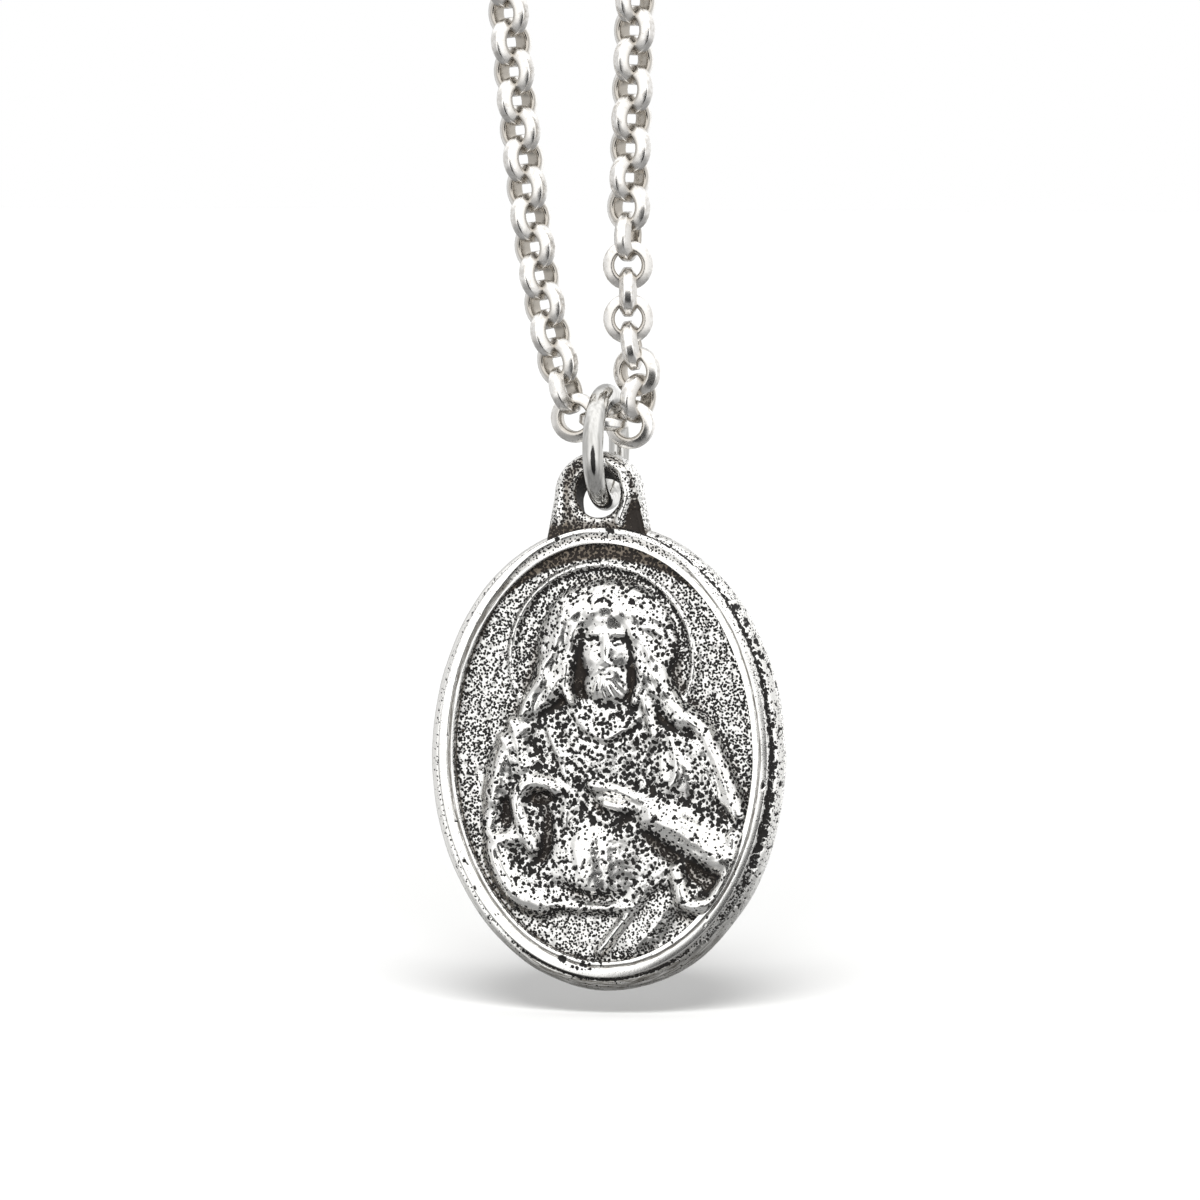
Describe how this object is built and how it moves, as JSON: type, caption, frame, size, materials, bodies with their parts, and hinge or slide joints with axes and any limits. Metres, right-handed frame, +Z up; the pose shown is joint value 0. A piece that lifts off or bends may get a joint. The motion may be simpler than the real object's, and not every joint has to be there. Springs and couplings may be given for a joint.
{
  "type": "religious pendant on a chain",
  "caption": "Oval cast medal with a raised haloed figure, hung by a jump ring on a closed loop of round-link chain with a plain clasp.",
  "frame": {"origin": "where the loop hangs: the inside of the chain's top, which rests on a peg, a hand or the neck", "axes": "+X to the viewer's right, -Y towards the viewer in front of the medal's face, +Z up"},
  "size_m": [0.0342, 0.006, 0.2676],
  "materials": {
    "cast_silver": "cast silver, oxidised dark in the pits and recesses and polished on the high places",
    "bright_silver": "polished silver wire"
  },
  "bodies": {
    "chain": {"chain_left": "bright_silver", "chain_right": "bright_silver", "chain_back": "bright_silver", "clasp": "bright_silver"},
    "ring": {"jump_ring": "bright_silver"},
    "medal": {"medal": "cast_silver"}
  },
  "joints": [
    {"name": "ring_swing", "type": "hinge", "parent": "chain", "child": "ring", "pos_m": [0.0025, 0, -0.2392], "axis": [1, 0, 0], "range_deg": [-60, 60]},
    {"name": "medal_sway", "type": "hinge", "parent": "ring", "child": "medal", "pos_m": [0.0025, 0, -0.24175], "axis": [0, 1, 0], "range_deg": [-50, 50]}
  ]
}
